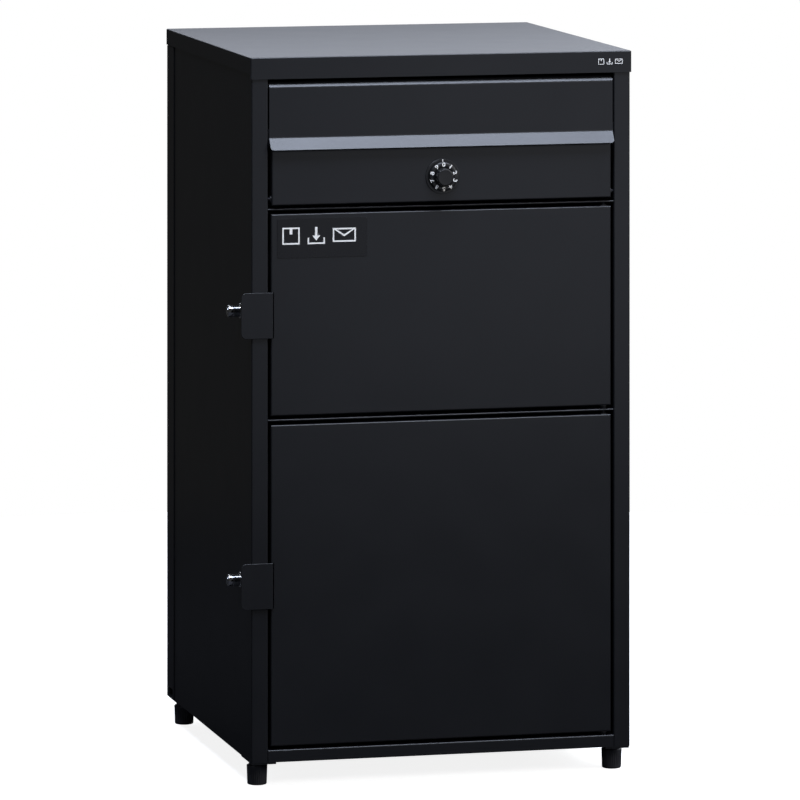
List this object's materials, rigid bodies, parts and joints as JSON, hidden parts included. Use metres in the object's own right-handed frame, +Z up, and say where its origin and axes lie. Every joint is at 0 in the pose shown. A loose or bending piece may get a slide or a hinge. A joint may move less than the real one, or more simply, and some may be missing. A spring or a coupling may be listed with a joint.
{
  "type": "parcel drop box",
  "caption": "Steel parcel drop box with hinged parcel doors, side push locks, a lift-up mail flap, a dial-locked mail door and levelling feet.",
  "frame": {"origin": "on the floor, under the middle of the cabinet", "axes": "+Z up, front towards -Y, +X to the right seen from the front"},
  "size_m": [0.4683, 0.4811, 0.8365],
  "materials": {
    "black_powder_coat": "satin, fine texture",
    "zinc_plated_steel": "zinc plated",
    "black_oxide_steel": "black oxide",
    "chrome": "polished",
    "spring_steel": "drawn wire",
    "nylon": "black, machined",
    "rubber": "matt",
    "black_plastic": "matt",
    "foot_plastic": "moulded",
    "dial_plastic": "semi-gloss",
    "ferrite": "sintered",
    "notice_film": "printed film"
  },
  "bodies": {
    "cabinet": {"left_side_panel": "black_powder_coat", "right_side_panel": "black_powder_coat", "back_panel": "black_powder_coat", "base_tray": "black_powder_coat", "top_cover": "black_powder_coat", "cover_screws": "zinc_plated_steel", "mail_floor": "black_powder_coat", "middle_shelf": "black_powder_coat", "slot_sill": "black_powder_coat", "flap_bumpers": "rubber", "flap_rod": "black_oxide_steel", "mail_hinge_pins": "black_oxide_steel", "pivot_pins": "black_oxide_steel", "door_catches": "black_plastic", "catch_magnets": "ferrite", "catch_brackets": "zinc_plated_steel", "foot_brackets": "black_powder_coat", "foot_nuts": "zinc_plated_steel", "upper_lock_barrel": "chrome", "upper_lock_nut": "zinc_plated_steel", "upper_lock_spring": "spring_steel", "lower_lock_barrel": "chrome", "lower_lock_nut": "zinc_plated_steel", "lower_lock_spring": "spring_steel"},
    "mail_flap": {"mail_flap": "black_powder_coat"},
    "mail_door": {"mail_door": "black_powder_coat", "mail_door_bushes": "nylon", "dial_base": "dial_plastic", "dial_case": "zinc_plated_steel", "dial_case_screws": "zinc_plated_steel"},
    "dial": {"dial_knob": "dial_plastic", "dial_spindle": "zinc_plated_steel"},
    "latch": {"latch_cam": "zinc_plated_steel", "latch_screw": "zinc_plated_steel"},
    "upper_door": {"upper_door": "black_powder_coat", "upper_door_stiffener": "zinc_plated_steel", "upper_door_tab": "black_powder_coat", "upper_door_strike": "zinc_plated_steel", "upper_door_bushes": "nylon", "notice_plate": "notice_film"},
    "upper_lock": {"upper_lock_plunger": "chrome", "upper_lock_bolt": "zinc_plated_steel"},
    "upper_key_core": {"upper_lock_core": "chrome"},
    "lower_door": {"lower_door": "black_powder_coat", "lower_door_stiffener": "zinc_plated_steel", "lower_door_tab": "black_powder_coat", "lower_door_strike": "zinc_plated_steel", "lower_door_bushes": "nylon"},
    "lower_lock": {"lower_lock_plunger": "chrome", "lower_lock_bolt": "zinc_plated_steel"},
    "lower_key_core": {"lower_lock_core": "chrome"},
    "front_left_foot": {"front_left_foot_pad": "foot_plastic", "front_left_foot_stud": "zinc_plated_steel"},
    "front_right_foot": {"front_right_foot_pad": "foot_plastic", "front_right_foot_stud": "zinc_plated_steel"},
    "rear_left_foot": {"rear_left_foot_pad": "foot_plastic", "rear_left_foot_stud": "zinc_plated_steel"},
    "rear_right_foot": {"rear_right_foot_pad": "foot_plastic", "rear_right_foot_stud": "zinc_plated_steel"}
  },
  "joints": [
    {"name": "mail_flap_hinge", "type": "hinge", "parent": "cabinet", "child": "mail_flap", "pos_m": [0, -0.22387, 0.80404], "axis": [-1, 0, 0], "range_deg": [0, 80]},
    {"name": "mail_door_hinge", "type": "hinge", "parent": "cabinet", "child": "mail_door", "pos_m": [0, -0.225, 0.67337], "axis": [1, 0, 0], "range_deg": [0, 80]},
    {"name": "dial_turn", "type": "hinge", "parent": "mail_door", "child": "dial", "pos_m": [0, -0.232, 0.6958], "axis": [0, -1, 0], "continuous": true},
    {"name": "latch_turn", "type": "hinge", "parent": "mail_door", "child": "latch", "pos_m": [0, -0.2135, 0.6958], "axis": [0, -1, 0], "range_deg": [0, 90]},
    {"name": "upper_door_hinge", "type": "hinge", "parent": "cabinet", "child": "upper_door", "pos_m": [0.19398, -0.225, 0.54115], "axis": [0, 0, 1], "range_deg": [0, 110]},
    {"name": "upper_lock_push", "type": "slide", "parent": "cabinet", "child": "upper_lock", "axis": [1, 0, 0], "range_m": [0, 0.009], "stiffness_N_per_m": 250, "springref_m": -0.004, "deforming": ["upper_lock_spring"]},
    {"name": "upper_key_turn", "type": "hinge", "parent": "upper_lock", "child": "upper_key_core", "pos_m": [-0.241, -0.176, 0.54115], "axis": [1, 0, 0], "range_deg": [0, 90]},
    {"name": "lower_door_hinge", "type": "hinge", "parent": "cabinet", "child": "lower_door", "pos_m": [0.19398, -0.225, 0.23145], "axis": [0, 0, 1], "range_deg": [0, 110]},
    {"name": "lower_lock_push", "type": "slide", "parent": "cabinet", "child": "lower_lock", "axis": [1, 0, 0], "range_m": [0, 0.009], "stiffness_N_per_m": 250, "springref_m": -0.004, "deforming": ["lower_lock_spring"]},
    {"name": "lower_key_turn", "type": "hinge", "parent": "lower_lock", "child": "lower_key_core", "pos_m": [-0.241, -0.176, 0.23145], "axis": [1, 0, 0], "range_deg": [0, 90]},
    {"name": "front_left_foot_turn", "type": "hinge", "parent": "cabinet", "child": "front_left_foot", "pos_m": [-0.2115, -0.199, 0], "axis": [0, 0, 1], "continuous": true},
    {"name": "front_right_foot_turn", "type": "hinge", "parent": "cabinet", "child": "front_right_foot", "pos_m": [0.2115, -0.199, 0], "axis": [0, 0, 1], "continuous": true},
    {"name": "rear_left_foot_turn", "type": "hinge", "parent": "cabinet", "child": "rear_left_foot", "pos_m": [-0.2115, 0.199, 0], "axis": [0, 0, 1], "continuous": true},
    {"name": "rear_right_foot_turn", "type": "hinge", "parent": "cabinet", "child": "rear_right_foot", "pos_m": [0.2115, 0.199, 0], "axis": [0, 0, 1], "continuous": true}
  ]
}
